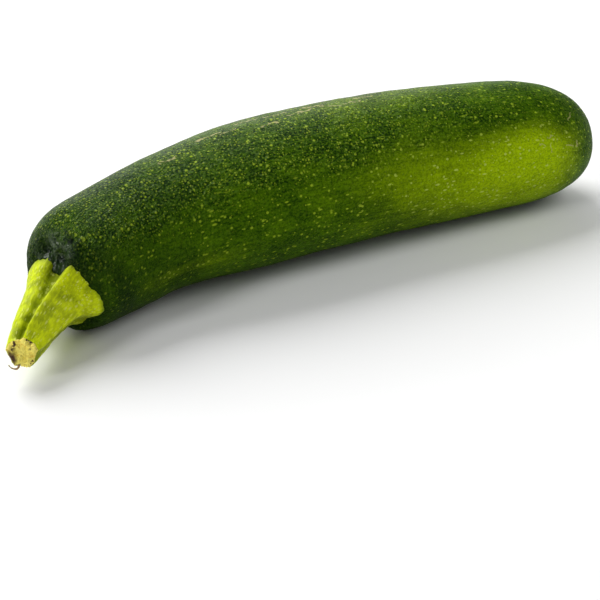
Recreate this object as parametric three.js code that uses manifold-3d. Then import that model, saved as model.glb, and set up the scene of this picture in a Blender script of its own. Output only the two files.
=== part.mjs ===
// A courgette lying on its side: the grown fruit, and the ribbed stalk by which it was cut from the plant.
//
// Millimetres, Z up. X runs from the stalk end to the blossom end, and the fruit's outer curve is on its +Y
// side. The origin lies under the middle of the courgette, on the plane that it rests on.

import * as THREE from 'three';
import { mergeVertices } from 'three/addons/utils/BufferGeometryUtils.js';
import Module from 'manifold-3d';

const wasm = await Module();
wasm.setup();

// The fruit's line of growth, from the stalk end to the blossom end: a tight arc, then a slack one.
const FRUIT_LENGTH = 222;
const NECK_ARC_LENGTH = 53;
const NECK_ARC_TURN = THREE.MathUtils.degToRad(27.7);
const BODY_ARC_TURN = THREE.MathUtils.degToRad(11.8);

// The shoulder's nose, which the stalk grows from, sags and leans to the right of the line of growth.
const NOSE_LENGTH = 24;
const NOSE_SAG = 3.2;
const NOSE_LEAN = 2.3;

// The fruit's girth: a narrow neck, swelling to the belly, then tapering to the blossom end.
const NECK_DIAMETER = 41;
const BELLY_DIAMETER = 51.5;
const BLOSSOM_DIAMETER = 42.4;
const NECK_END = 10;
const BELLY_START = 88;
const BELLY_END = 117;

// How each end rounds off: over what length, and how full the dome is, 2 being an ellipse.
const STALK_END_ROUNDING = 20.5;
const STALK_END_FULLNESS = 2.7;
const BLOSSOM_END_ROUNDING = 40;
const BLOSSOM_END_FULLNESS = 2.8;

// The shoulder carries a low lobe in line with each rib of the stalk, which fades along the neck.
const RIB_COUNT = 5;
const RIB_TURN = THREE.MathUtils.degToRad(25);
const LOBE_HEIGHT = 0.6;
const LOBE_LENGTH = 40;

// The long flat along the underside, where the fruit's weight rests.
const REST_FLAT_DEPTH = 0.35;

// The stalk: a tapering five-ribbed stem whose foot flares over the shoulder.
const STALK_LENGTH = 30.8;
const STALK_ROOT_DIAMETER = 19.5;
const STALK_TIP_DIAMETER = 10.4;
const STALK_SWING = THREE.MathUtils.degToRad(12.5);
const STALK_DROOP = THREE.MathUtils.degToRad(10);
const STALK_ROOT_DEPTH = 3;
const STALK_ROOT_ASIDE = 1.4;
const STALK_ROOT_BELOW = 1.9;
const STALK_TIP_ROUNDING = 1.6;
const FLARE_WIDTH = 3;
const FLARE_LENGTH = 5;
const RIB_HEIGHT = 2.8;
const RIB_HEIGHT_AT_TIP = 1;
const RIB_TWIST = THREE.MathUtils.degToRad(22);
const SEAT_GAP = 0.3;

// How finely the solids are faceted.
const SEGMENTS = 48;
const DOME_RINGS = 9;
const BODY_RINGS = 26;
const STALK_RINGS = 18;

const UP = new THREE.Vector3(0, 0, 1);

/** A closed mesh geometry as a solid. Only its positions are kept, so that shared vertices merge. */
function solidFrom(geometry) {
  const bare = new THREE.BufferGeometry();
  bare.setAttribute('position', geometry.getAttribute('position'));
  bare.setIndex(geometry.getIndex());
  const merged = mergeVertices(bare, 1e-3);
  return new wasm.Manifold(new wasm.Mesh({
    numProp: 3,
    vertProperties: merged.getAttribute('position').array,
    triVerts: new Uint32Array(merged.getIndex().array),
  }));
}

/** A solid as a mesh geometry, with one normal per face. */
function geometryFrom(solid) {
  const { vertProperties, triVerts } = solid.getMesh();
  const geometry = new THREE.BufferGeometry();
  geometry.setAttribute('position', new THREE.BufferAttribute(vertProperties, 3));
  geometry.setIndex(new THREE.BufferAttribute(triVerts, 1));
  geometry.computeVertexNormals();
  return geometry;
}

/** From 0 at an end to 1 where its rounding stops, at a depth measured in from that end. */
function rounding(depth, length, fullness) {
  const left = Math.max(0, 1 - depth / length);
  return (1 - left ** fullness) ** (1 / fullness);
}

/** The fruit's radius before its ends are rounded, at a distance along it from the stalk end. */
function bodyRadius(along) {
  const swell = THREE.MathUtils.smoothstep(along, NECK_END, BELLY_START);
  const taper = Math.max(0, (along - BELLY_END) / (FRUIT_LENGTH - BELLY_END)) ** 2;
  const diameter = NECK_DIAMETER
    + (BELLY_DIAMETER - NECK_DIAMETER) * swell
    - (BELLY_DIAMETER - BLOSSOM_DIAMETER) * taper;
  return diameter / 2;
}

/** How far the shoulder's lobes stand out, at an angle round the fruit measured from the top. */
function lobeHeight(along, angle) {
  const fade = 1 - THREE.MathUtils.smoothstep(along, 0, LOBE_LENGTH);
  return LOBE_HEIGHT * fade * Math.cos(RIB_COUNT * (angle - RIB_TURN));
}

/** Both ends' rounding together, as a share of the fruit's radius. */
function endRounding(along) {
  return rounding(along, STALK_END_ROUNDING, STALK_END_FULLNESS)
    * rounding(FRUIT_LENGTH - along, BLOSSOM_END_ROUNDING, BLOSSOM_END_FULLNESS);
}

/** The fruit's line of growth in plan: two arcs that meet without a kink at the origin. */
function growthLine() {
  const neckArc = NECK_ARC_LENGTH / NECK_ARC_TURN;
  const bodyArc = (FRUIT_LENGTH - NECK_ARC_LENGTH) / BODY_ARC_TURN;
  const top = Math.PI / 2;
  const line = new THREE.CurvePath();
  line.add(new THREE.ArcCurve(0, -neckArc, neckArc, top + NECK_ARC_TURN, top, true));
  line.add(new THREE.ArcCurve(0, -bodyArc, bodyArc, top, top - BODY_ARC_TURN, true));
  return line;
}

const line = growthLine();

/** A point on the fruit's axis, which runs on straight past both ends, with its right and its up. */
function fruitAxis(along) {
  const onLine = THREE.MathUtils.clamp(along, 0, FRUIT_LENGTH);
  const ahead = line.getTangent(onLine / FRUIT_LENGTH);
  const place = line.getPoint(onLine / FRUIT_LENGTH).addScaledVector(ahead, along - onLine);
  const right = new THREE.Vector3(ahead.y, -ahead.x, 0).normalize();
  const nose = Math.max(0, 1 - along / NOSE_LENGTH) ** 2;
  const height = bodyRadius(along) + lobeHeight(along, Math.PI) - REST_FLAT_DEPTH - NOSE_SAG * nose;
  const centre = new THREE.Vector3(place.x, place.y, height).addScaledVector(right, NOSE_LEAN * nose);
  return { centre, right, up: UP };
}

/** Turns a straight lathed shape, whose axis is Y, into one that follows an axis and swells by angle. */
function bendAlong(geometry, axisAt, swellAt) {
  const position = geometry.getAttribute('position');
  for (let i = 0; i < position.count; i++) {
    const along = position.getY(i);
    const angle = Math.atan2(position.getX(i), position.getZ(i));
    const radius = Math.hypot(position.getX(i), position.getZ(i)) * swellAt(along, angle);
    const { centre, right, up } = axisAt(along);
    const point = centre.clone()
      .addScaledVector(right, radius * Math.sin(angle))
      .addScaledVector(up, radius * Math.cos(angle));
    position.setXYZ(i, point.x, point.y, point.z);
  }
  return geometry;
}

/** Distances along the fruit at which it has a ring: close together towards each end's pole. */
function fruitStations() {
  const dome = (i) => 1 - Math.cos((Math.PI / 2) * (i / DOME_RINGS));
  const stations = [];
  for (let i = 0; i < DOME_RINGS; i++) stations.push(STALK_END_ROUNDING * dome(i));
  const straight = FRUIT_LENGTH - STALK_END_ROUNDING - BLOSSOM_END_ROUNDING;
  for (let i = 0; i <= BODY_RINGS; i++) stations.push(STALK_END_ROUNDING + (straight * i) / BODY_RINGS);
  for (let i = DOME_RINGS - 1; i >= 0; i--) stations.push(FRUIT_LENGTH - BLOSSOM_END_ROUNDING * dome(i));
  return stations;
}

/** The fruit as a solid, fatter all round by a clearance, before the rest flat is cut. */
function fruitBody(clearance) {
  const profile = fruitStations().map((along) => {
    const radius = (bodyRadius(along) + clearance) * endRounding(along);
    const shift = along < FRUIT_LENGTH / 2 ? -clearance : clearance;
    return new THREE.Vector2(radius, along + shift);
  });
  const swell = (along, angle) => 1 + lobeHeight(Math.max(0, along), angle) / bodyRadius(along);
  return solidFrom(bendAlong(new THREE.LatheGeometry(profile, SEGMENTS), fruitAxis, swell));
}

/** The fruit, with the flat that it rests on. */
function makeFruit() {
  const ground = new THREE.BoxGeometry(2 * FRUIT_LENGTH, 2 * FRUIT_LENGTH, BELLY_DIAMETER);
  ground.translate(0, 0, -BELLY_DIAMETER / 2);
  return geometryFrom(fruitBody(0).subtract(solidFrom(ground)));
}

/** The stalk's axis by distance behind its root: it leaves along the fruit, swings aside and droops. */
function makeStalkAxis() {
  const root = fruitAxis(STALK_ROOT_DEPTH);
  const outward = root.right.clone().cross(UP);
  const swung = outward.clone().applyAxisAngle(UP, STALK_SWING).multiplyScalar(Math.cos(STALK_DROOP));
  const foot = root.centre.clone()
    .addScaledVector(root.right, STALK_ROOT_ASIDE)
    .addScaledVector(UP, -STALK_ROOT_BELOW);
  const bend = foot.clone().addScaledVector(outward, STALK_LENGTH / 4);
  const tip = foot.clone()
    .addScaledVector(swung, STALK_LENGTH)
    .addScaledVector(UP, -STALK_LENGTH * Math.sin(STALK_DROOP));
  const curve = new THREE.QuadraticBezierCurve3(tip, bend, foot);
  return (behind) => {
    const share = THREE.MathUtils.clamp(1 + behind / STALK_LENGTH, 0, 1);
    const ahead = curve.getTangentAt(share);
    const right = ahead.clone().cross(UP).normalize();
    return { centre: curve.getPointAt(share), right, up: right.clone().cross(ahead) };
  };
}

/** The stalk's mean radius at a distance out from its root. */
function stalkRadius(out) {
  const taper = THREE.MathUtils.lerp(STALK_ROOT_DIAMETER, STALK_TIP_DIAMETER, out / STALK_LENGTH) / 2;
  return taper + FLARE_WIDTH * Math.exp(-((out / FLARE_LENGTH) ** 2));
}

/** The ribs' relief as a share of the stalk's radius: sharp crests, with broad hollows between them. */
function ribRelief(behind, angle) {
  const share = -behind / STALK_LENGTH;
  const height = THREE.MathUtils.lerp(RIB_HEIGHT, RIB_HEIGHT_AT_TIP, share);
  const hollow = Math.abs(Math.sin((RIB_COUNT / 2) * (angle - RIB_TURN + RIB_TWIST * share)));
  return 1 + (height / stalkRadius(-behind)) * (0.5 - hollow);
}

/** The stalk, cut to sit on the fruit's shoulder with a hair's gap. */
function makeStalk() {
  const profile = [
    new THREE.Vector2(0, -STALK_LENGTH),
    new THREE.Vector2(stalkRadius(STALK_LENGTH) - STALK_TIP_ROUNDING, -STALK_LENGTH),
  ];
  for (let i = STALK_RINGS; i >= 0; i--) {
    const out = (STALK_LENGTH - STALK_TIP_ROUNDING) * (i / STALK_RINGS);
    profile.push(new THREE.Vector2(stalkRadius(out), -out));
  }
  profile.push(new THREE.Vector2(0, 0));
  const stalk = solidFrom(bendAlong(new THREE.LatheGeometry(profile, SEGMENTS), makeStalkAxis(), ribRelief));
  return geometryFrom(stalk.subtract(fruitBody(SEAT_GAP)));
}

/** A named mesh in its own material. */
function piece(name, geometry, color, roughness) {
  const mesh = new THREE.Mesh(geometry, new THREE.MeshStandardMaterial({ color, roughness, metalness: 0 }));
  mesh.name = name;
  return mesh;
}

/** The whole courgette, with its ends' chord along X and the origin under the middle of its box. */
function makeCourgette() {
  const lying = new THREE.Group();
  lying.add(piece('fruit', makeFruit(), 0x385110, 0.42));
  lying.add(piece('stalk', makeStalk(), 0xa3b52a, 0.55));
  const chord = line.getPoint(1).sub(line.getPoint(0));
  lying.rotation.z = -chord.angle();

  const courgette = new THREE.Group();
  courgette.add(lying);
  const box = new THREE.Box3().setFromObject(courgette, true);
  const middle = box.getCenter(new THREE.Vector3());
  courgette.position.set(-middle.x, -middle.y, -box.min.z);
  return courgette;
}

export default makeCourgette();
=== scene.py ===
"""A whole courgette lying on its side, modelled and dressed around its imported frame.

Each piece is grown straight along X, ring by ring, from the stalk's end. Its ribs, dents and scars are
raised and pressed while it is straight, and it is then bent along its line of growth and laid on the resting
plane. Lengths are in metres. Angles round a piece are measured from its top, towards its right-hand side as
seen from the stalk, so a point at an angle lies at (-sin, cos) of it in Y and Z.
"""

import logging
import math
from collections.abc import Callable, Iterator
from contextlib import contextmanager
from dataclasses import dataclass, field, replace
from enum import Enum

import bmesh
import bpy
import numpy as np
from mathutils import Matrix, Vector


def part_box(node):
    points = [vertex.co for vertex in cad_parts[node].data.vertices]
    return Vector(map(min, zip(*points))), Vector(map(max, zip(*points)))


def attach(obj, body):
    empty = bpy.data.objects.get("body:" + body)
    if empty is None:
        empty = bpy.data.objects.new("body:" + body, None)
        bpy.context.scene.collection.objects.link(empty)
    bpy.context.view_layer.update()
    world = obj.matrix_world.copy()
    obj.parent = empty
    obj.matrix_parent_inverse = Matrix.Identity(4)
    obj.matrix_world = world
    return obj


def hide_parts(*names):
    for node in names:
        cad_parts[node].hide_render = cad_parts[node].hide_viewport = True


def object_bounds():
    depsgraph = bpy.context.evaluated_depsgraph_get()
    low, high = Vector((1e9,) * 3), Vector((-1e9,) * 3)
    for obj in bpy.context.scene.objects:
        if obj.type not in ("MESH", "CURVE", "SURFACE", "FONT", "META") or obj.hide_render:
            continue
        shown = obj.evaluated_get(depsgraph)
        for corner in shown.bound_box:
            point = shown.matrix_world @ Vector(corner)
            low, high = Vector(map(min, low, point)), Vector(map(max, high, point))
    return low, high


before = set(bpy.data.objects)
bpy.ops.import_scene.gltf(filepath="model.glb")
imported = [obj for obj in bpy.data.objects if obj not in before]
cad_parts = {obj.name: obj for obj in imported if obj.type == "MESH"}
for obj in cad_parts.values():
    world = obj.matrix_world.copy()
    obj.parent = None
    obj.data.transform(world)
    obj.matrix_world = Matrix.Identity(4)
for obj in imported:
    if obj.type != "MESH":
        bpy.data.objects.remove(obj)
CAD_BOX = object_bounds()

LOG = logging.getLogger("courgette")
MM = 0.001
UNROLLED_RADIUS = 24.5 * MM
LEAST_SHARE = 0.002
MIX_UNDER, MIX_OVER, MIX_RESULT = 6, 7, 2
FULL_TURN = 2 * math.pi

Colour = tuple[int, int, int]
Socket = bpy.types.NodeSocket
Number = float | Socket


class Node(Enum):
    """The frame's nodes that the pieces stand for."""

    FRUIT = "fruit"
    STALK = "stalk"


class Slot(Enum):
    """The record's finishes."""

    SKIN = "skin"
    STALK = "stalk"


# ---------------------------------------------------------------- small sums

def smooth(value: np.ndarray | float, low: float, high: float) -> np.ndarray | float:
    """Eases from 0 at low to 1 at high.

    Args:
        value: The number or numbers to ease.
        low: Where the ease starts.
        high: Where the ease ends.

    Returns:
        The eased share, between 0 and 1.
    """
    share = np.clip((value - low) / (high - low), 0.0, 1.0)
    return share * share * (3 - 2 * share)


@dataclass(frozen=True)
class Span:
    """How a number is eased: from bottom, where it is low, to top, where it is high."""

    low: float
    high: float
    bottom: float = 0.0
    top: float = 1.0

    def at(self, value: np.ndarray | float) -> np.ndarray | float:
        """Returns a number, or each of several, eased."""
        return self.bottom + (self.top - self.bottom) * smooth(value, self.low, self.high)


def colour(screen: Colour) -> tuple[float, float, float, float]:
    """Turns a screen colour of 0 to 255 a channel into the linear colour that a shader takes.

    Args:
        screen: The screen colour.

    Returns:
        The linear colour, opaque.
    """
    channels = [channel / 255 for channel in screen]
    linear = [c / 12.92 if c <= 0.04045 else ((c + 0.055) / 1.055) ** 2.4 for c in channels]
    return (*linear, 1.0)


def angles_round(points: np.ndarray) -> np.ndarray:
    """Returns the angle of each point round the X axis, from the top towards the right-hand side."""
    return np.arctan2(-points[:, 1], points[:, 2])


def apart(angles: np.ndarray, angle: float) -> np.ndarray:
    """Returns how far each angle is from a given one, signed, the short way round."""
    return (angles - angle + math.pi) % FULL_TURN - math.pi


def degrees_apart(angles: np.ndarray, angle: float) -> np.ndarray:
    """Returns how many degrees each angle in degrees is from a given one, the short way round."""
    return np.abs((angles - angle + 180) % 360 - 180)


def curve_point(corners: list[Vector], share: float) -> Vector:
    """Returns the point at a share of the way along the smooth curve that a few corners pull.

    Args:
        corners: The corners in order.
        share: The share of the way.

    Returns:
        The point.
    """
    while len(corners) > 1:
        corners = [before.lerp(after, share) for before, after in zip(corners, corners[1:])]
    return corners[0]


def before_smoothing(sides: int) -> float:
    """Returns how much wider a ring is drawn, so that it has its own radius once it is subdivided."""
    return 3 / (2 + math.cos(FULL_TURN / sides))


# ---------------------------------------------------------------- working by hand

def clear_selection() -> None:
    """Deselects everything, so that the next operator acts on its own piece alone."""
    bpy.ops.object.select_all(action="DESELECT")


def take_up(piece: bpy.types.Object) -> None:
    """Makes a piece the only selected and active object.

    Args:
        piece: The piece.
    """
    clear_selection()
    piece.select_set(True)
    bpy.context.view_layer.objects.active = piece


@contextmanager
def editing(piece: bpy.types.Object) -> Iterator[None]:
    """Opens a piece in edit mode with nothing selected, and closes it again.

    Args:
        piece: The piece.

    Returns:
        A context, inside which the piece is in edit mode.
    """
    take_up(piece)
    bpy.ops.object.mode_set(mode="EDIT")
    bpy.ops.mesh.select_all(action="DESELECT")
    yield
    bpy.ops.object.mode_set(mode="OBJECT")


def pick(piece: bpy.types.Object, wanted: Callable[[Vector], bool]) -> None:
    """Selects the vertices of a piece in edit mode by their place.

    Args:
        piece: The piece, which is in edit mode.
        wanted: Says whether the vertex at a place is selected.
    """
    bpy.ops.mesh.select_mode(type="VERT")
    shape = bmesh.from_edit_mesh(piece.data)
    for vertex in shape.verts:
        vertex.select_set(wanted(vertex.co))
    shape.select_flush(True)
    bmesh.update_edit_mesh(piece.data)


def places(piece: bpy.types.Object) -> np.ndarray:
    """Returns the places of a piece's vertices, a row for each.

    Args:
        piece: The piece.

    Returns:
        The places.
    """
    found = np.empty(len(piece.data.vertices) * 3)
    piece.data.vertices.foreach_get("co", found)
    return found.reshape(-1, 3)


def put_in_mesh(piece: bpy.types.Object) -> None:
    """Moves a piece's place, turn and scale into its mesh, so that its object sits at the origin."""
    take_up(piece)
    bpy.ops.object.transform_apply(location=True, rotation=True, scale=True)


def apply(piece: bpy.types.Object, modifier: bpy.types.Modifier) -> None:
    """Applies one modifier to a piece."""
    take_up(piece)
    bpy.ops.object.modifier_apply(modifier=modifier.name)


def refine(piece: bpy.types.Object, levels: int) -> None:
    """Subdivides a piece smoothly, and applies it.

    Args:
        piece: The piece.
        levels: How many times each face is divided.
    """
    modifier = piece.modifiers.new("refine", "SUBSURF")
    modifier.levels = modifier.render_levels = levels
    apply(piece, modifier)


def paint(piece: bpy.types.Object, name: str, shares: np.ndarray) -> None:
    """Stores a share for each vertex of a piece, which its finish reads by name."""
    layer = piece.data.attributes.new(name, "FLOAT", "POINT")
    layer.data.foreach_set("value", np.clip(shares, 0, 1).astype(np.float32))


def store(piece: bpy.types.Object, name: str, points: np.ndarray) -> None:
    """Stores a place for each vertex of a piece, which its finish reads by name."""
    layer = piece.data.attributes.new(name, "FLOAT_VECTOR", "POINT")
    layer.data.foreach_set("vector", points.astype(np.float32).ravel())


def displace(piece: bpy.types.Object, modifier: bpy.types.Modifier, shares: np.ndarray | None) -> None:
    """Applies a displacement to part of a piece.

    Args:
        piece: The piece.
        modifier: The displacement.
        shares: How much of it each vertex takes, from 0 to 1, or None for all of it everywhere.
    """
    if shares is not None:
        group = piece.vertex_groups.new(name=modifier.name)
        for index in np.flatnonzero(shares > LEAST_SHARE):
            group.add([int(index)], float(min(shares[index], 1.0)), "REPLACE")
        modifier.vertex_group = group.name
    apply(piece, modifier)
    piece.vertex_groups.clear()


def swell(piece: bpy.types.Object, height: float, shares: np.ndarray) -> None:
    """Raises part of a piece's surface along its normals, or presses it in.

    Args:
        piece: The piece.
        height: How far the surface rises where the share is 1, and less than 0 to press it in.
        shares: How much of the height each vertex takes, from 0 to 1.
    """
    modifier = piece.modifiers.new("swell", "DISPLACE")
    modifier.mid_level = 0.0
    modifier.strength = height
    displace(piece, modifier, shares)


@dataclass(frozen=True)
class Relief:
    """An uneven relief: its height from its lowest point to its highest, and the size of its lumps."""

    height: float
    grain: float


def roughen(piece: bpy.types.Object, relief: Relief, shares: np.ndarray | None = None) -> None:
    """Gives part of a piece's surface an uneven relief.

    Args:
        piece: The piece.
        relief: The relief.
        shares: How much of the relief each vertex takes, or None for all of it everywhere.
    """
    cloud = bpy.data.textures.new("relief", "CLOUDS")
    cloud.noise_scale = relief.grain
    cloud.noise_depth = 2
    modifier = piece.modifiers.new("roughen", "DISPLACE")
    modifier.texture = cloud
    modifier.texture_coords = "LOCAL"
    modifier.mid_level = 0.5
    modifier.strength = relief.height
    displace(piece, modifier, shares)
    bpy.data.textures.remove(cloud)


@dataclass(frozen=True)
class Ring:
    """One ring of a straight piece, square to X unless its top or its right-hand side is cut back."""

    along: float
    radius: float
    right: float = 0.0
    up: float = 0.0
    top_back: float = 0.0
    right_back: float = 0.0
    tall: float = 1.0

    @property
    def centre(self) -> Vector:
        """The ring's centre."""
        return Vector((self.along, -self.right, self.up))


def lean(ring: Ring, centre: Vector, way: int) -> None:
    """Turns the selected ring into its lean, or out of it again.

    Args:
        ring: The ring whose lean is meant.
        centre: The point that the selected ring turns about.
        way: 1 for into its lean, and -1 for out of it.
    """
    turns = [("Y", -ring.top_back * way), ("Z", -ring.right_back * way)]
    for axis, angle in turns[::way]:
        if angle:
            bpy.ops.transform.rotate(value=angle, orient_axis=axis, center_override=centre)


def grow(name: str, rings: list[Ring], sides: int) -> bpy.types.Object:
    """Grows a closed straight body by extruding a circle from ring to ring, and closes its two ends.

    Args:
        name: The new piece's name.
        rings: The rings in order along X. The first and last are drawn together into the two poles.
        sides: How many vertices each ring has.

    Returns:
        The new piece.
    """
    clear_selection()
    first = rings[0]
    bpy.ops.mesh.primitive_circle_add(
        vertices=sides, radius=first.radius, location=first.centre, rotation=(0, math.pi / 2, 0))
    piece = bpy.context.object
    piece.name = piece.data.name = name
    put_in_mesh(piece)
    with editing(piece):
        bpy.ops.mesh.select_all(action="SELECT")
        lean(first, first.centre, 1)
        for last, ring in zip(rings, rings[1:]):
            bpy.ops.mesh.extrude_region_move(TRANSFORM_OT_translate={"value": ring.centre - last.centre})
            lean(last, ring.centre, -1)
            wide = ring.radius / last.radius
            bpy.ops.transform.resize(
                value=(1, wide, wide * ring.tall / last.tall), center_override=ring.centre)
            lean(ring, ring.centre, 1)
        bpy.ops.mesh.merge(type="CENTER")
        pick(piece, lambda place: (place - first.centre).length < 2 * first.radius)
        bpy.ops.mesh.merge(type="CENTER")
        bpy.ops.mesh.select_all(action="SELECT")
        bpy.ops.mesh.normals_make_consistent(inside=False)
    return piece


def bend(piece: bpy.types.Object, path: list[Vector]) -> None:
    """Bends a straight piece, which starts at the origin and runs along X, along a path.

    Args:
        piece: The straight piece.
        path: Points along the path, close together.
    """
    curve = bpy.data.curves.new("path", "CURVE")
    curve.dimensions = "3D"
    curve.twist_mode = "Z_UP"
    spline = curve.splines.new("POLY")
    spline.points.add(len(path) - 1)
    for point, place in zip(spline.points, path):
        point.co = (*place, 1.0)
    guide = bpy.data.objects.new("path", curve)
    bpy.context.collection.objects.link(guide)
    modifier = piece.modifiers.new("bend", "CURVE")
    modifier.object = guide
    apply(piece, modifier)
    bpy.data.objects.remove(guide)


def dress(piece: bpy.types.Object, material: bpy.types.Material) -> None:
    """Shades a piece smoothly all over, and gives it its material.

    Args:
        piece: The piece.
        material: Its material.
    """
    take_up(piece)
    bpy.ops.object.shade_smooth()
    piece.data.materials.append(material)


# ---------------------------------------------------------------- shapes

@dataclass(frozen=True)
class GrowthLine:
    """The fruit's line of growth in plan: a tight arc behind the stalk, then a slack one to its far end."""

    length: float = 222 * MM
    neck_length: float = 53 * MM
    neck_turn: float = math.radians(27.7)
    body_turn: float = math.radians(11.8)
    steps: int = 160

    def place(self, along: float) -> Vector:
        """Returns the point at a distance along the line. Its two arcs meet at the origin, heading along X.

        Args:
            along: The distance.

        Returns:
            The point.
        """
        neck = along < self.neck_length
        body_length = self.length - self.neck_length
        arc = self.neck_length / self.neck_turn if neck else body_length / self.body_turn
        turn = (along - self.neck_length) / arc
        return Vector((arc * math.sin(turn), arc * (math.cos(turn) - 1), 0))

    def heading(self, along: float) -> float:
        """Returns the line's heading in plan at a distance along it, turning left from X.

        Args:
            along: The distance.

        Returns:
            The heading in radians.
        """
        if along < self.neck_length:
            return self.neck_turn * (1 - along / self.neck_length)
        return -self.body_turn * (along - self.neck_length) / (self.length - self.neck_length)

    @property
    def chord_angle(self) -> float:
        """The heading of the straight line from the stalk end to the blossom end."""
        chord = self.place(self.length) - self.place(0)
        return math.atan2(chord.y, chord.x)

    def path(self) -> list[Vector]:
        """Returns points along the line, close together, from the stalk end to the blossom end."""
        return [self.place(self.length * step / self.steps) for step in range(self.steps + 1)]


@dataclass(frozen=True)
class FruitForm:
    """The fruit's form before its ribs and blemishes: its line of growth, its girth and its rounded ends."""

    line: GrowthLine = field(default_factory=GrowthLine)
    neck_radius: float = 20.5 * MM
    belly_radius: float = 25.75 * MM
    blossom_radius: float = 21.2 * MM
    neck_end: float = 10 * MM
    belly_start: float = 88 * MM
    belly_end: float = 117 * MM
    stalk_end_rounding: float = 20.5 * MM
    stalk_end_fullness: float = 2.7
    blossom_end_rounding: float = 40 * MM
    blossom_end_fullness: float = 2.8
    nose_length: float = 24 * MM
    nose_sag: float = 3.2 * MM
    nose_lean: float = 2.3 * MM
    rest_flat_depth: float = 0.35 * MM

    def body(self, along: float) -> float:
        """Returns the radius at a distance along the fruit, before its ends are rounded.

        Args:
            along: The distance.

        Returns:
            The radius.
        """
        swelling = smooth(along, self.neck_end, self.belly_start)
        taper = max(0.0, (along - self.belly_end) / (self.line.length - self.belly_end)) ** 2
        return float(self.neck_radius + (self.belly_radius - self.neck_radius) * swelling
                     - (self.belly_radius - self.blossom_radius) * taper)

    @staticmethod
    def dome(depth: float, length: float, fullness: float) -> float:
        """Returns how much of the radius a rounded end has at a depth measured in from its pole."""
        left = float(np.clip(1 - depth / length, 0, 1))
        return (1 - left ** fullness) ** (1 / fullness)

    def radius(self, along: float) -> float:
        """Returns the radius at a distance along the fruit, with both ends rounded.

        Args:
            along: The distance.

        Returns:
            The radius.
        """
        return (self.body(along)
                * self.dome(along, self.stalk_end_rounding, self.stalk_end_fullness)
                * self.dome(self.line.length - along, self.blossom_end_rounding, self.blossom_end_fullness))

    def ring(self, along: float, radius: float) -> Ring:
        """Returns the ring of a given radius at a distance along the fruit, resting on the plane.

        Args:
            along: The distance.
            radius: The ring's radius.

        Returns:
            The ring.
        """
        nose = max(0.0, 1 - along / self.nose_length) ** 2
        up = self.body(along) - self.rest_flat_depth - self.nose_sag * nose
        return Ring(along, radius, self.nose_lean * nose, up)

    def spot(self, along: float, angle: float) -> Vector:
        """Returns the place on the straight fruit's skin at a distance along it and an angle round it."""
        ring = self.ring(along, self.radius(along))
        return ring.centre + ring.radius * Vector((0, -math.sin(angle), math.cos(angle)))

    def box_in_plan(self, turned: Matrix) -> tuple[Vector, Vector]:
        """Returns the bent fruit's lowest and highest corners once it is turned, before it is moved.

        Args:
            turned: The turn.

        Returns:
            The lowest and the highest corner.
        """
        corners = []
        for step in range(self.line.steps + 1):
            along = self.line.length * step / self.line.steps
            ring = self.ring(along, self.radius(along))
            heading = self.line.heading(along)
            right = Vector((math.sin(heading), -math.cos(heading), 0))
            for side in (-1, 1):
                edge = right * (ring.right + side * ring.radius)
                corners.append(turned @ (self.line.place(along) + edge))
        low = Vector(map(min, zip(*corners)))
        high = Vector(map(max, zip(*corners)))
        return low, high

    def laid(self) -> Matrix:
        """Returns the turn and move that lay the bent fruit where the frame's fruit lies.

        Returns:
            The turn and the move in one matrix.
        """
        turned = Matrix.Rotation(-self.line.chord_angle, 4, "Z")
        low, high = self.box_in_plan(turned)
        cad_low, cad_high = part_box("fruit")
        shift = (cad_low + cad_high - low - high) / 2
        return Matrix.Translation((shift.x, shift.y, 0)) @ turned


@dataclass(frozen=True)
class Rib:
    """One of the five ribs that run down the stalk and on over the fruit's shoulder.

    A rib's angle and its breadths to the left and right, over which it falls away, are in degrees. Its toe
    is how high it is at the foot, as a share of the ribs' common height.
    """

    angle: float
    left: float
    right: float
    sharpness: float
    toe: float

    def shares(self, angles: np.ndarray) -> np.ndarray:
        """Returns how much of the rib's height each angle has.

        Args:
            angles: The angles in radians.

        Returns:
            The share of each, from 0 to 1.
        """
        away = np.degrees(apart(angles, math.radians(self.angle)))
        breadth = np.where(away < 0, self.left, self.right)
        return np.exp(-(np.abs(away) / breadth) ** self.sharpness)


def make_ribs() -> list[Rib]:
    """Returns the five ribs, from the one on the left of the top, clockwise as seen from the stalk.

    Returns:
        The ribs.
    """
    return [
        Rib(angle=-45, left=36, right=40, sharpness=2.8, toe=1.0),
        Rib(angle=23, left=11, right=34, sharpness=1.5, toe=1.0),
        Rib(angle=97, left=34, right=20, sharpness=2.2, toe=1.08),
        Rib(angle=169, left=20, right=24, sharpness=2.0, toe=0.35),
        Rib(angle=241, left=24, right=22, sharpness=2.0, toe=2.3),
    ]


@dataclass(frozen=True)
class Spot:
    """A round spot on the fruit's skin, by its middle's millimetres along and degrees round the fruit.

    Its reach is in millimetres. Its strength is the height of a swelling in millimetres, less than 0 for a
    dent, or how strongly the spot is painted.
    """

    along: float
    angle: float
    reach: float
    strength: float


@dataclass(frozen=True)
class Patch:
    """A soft patch of paint on the fruit's skin, by millimetres along and degrees round the fruit."""

    along: float
    angle: float
    along_reach: float
    angle_reach: float
    strength: float

    def shares(self, along: np.ndarray, angle: np.ndarray) -> np.ndarray:
        """Returns how strongly it is painted at each place.

        Args:
            along: Millimetres along the fruit.
            angle: Degrees round it.

        Returns:
            The strength at each place.
        """
        off_along = (along - self.along) / self.along_reach
        off_round = (angle - self.angle) / self.angle_reach
        return self.strength * np.exp(-off_along ** 2 - off_round ** 2)


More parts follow.
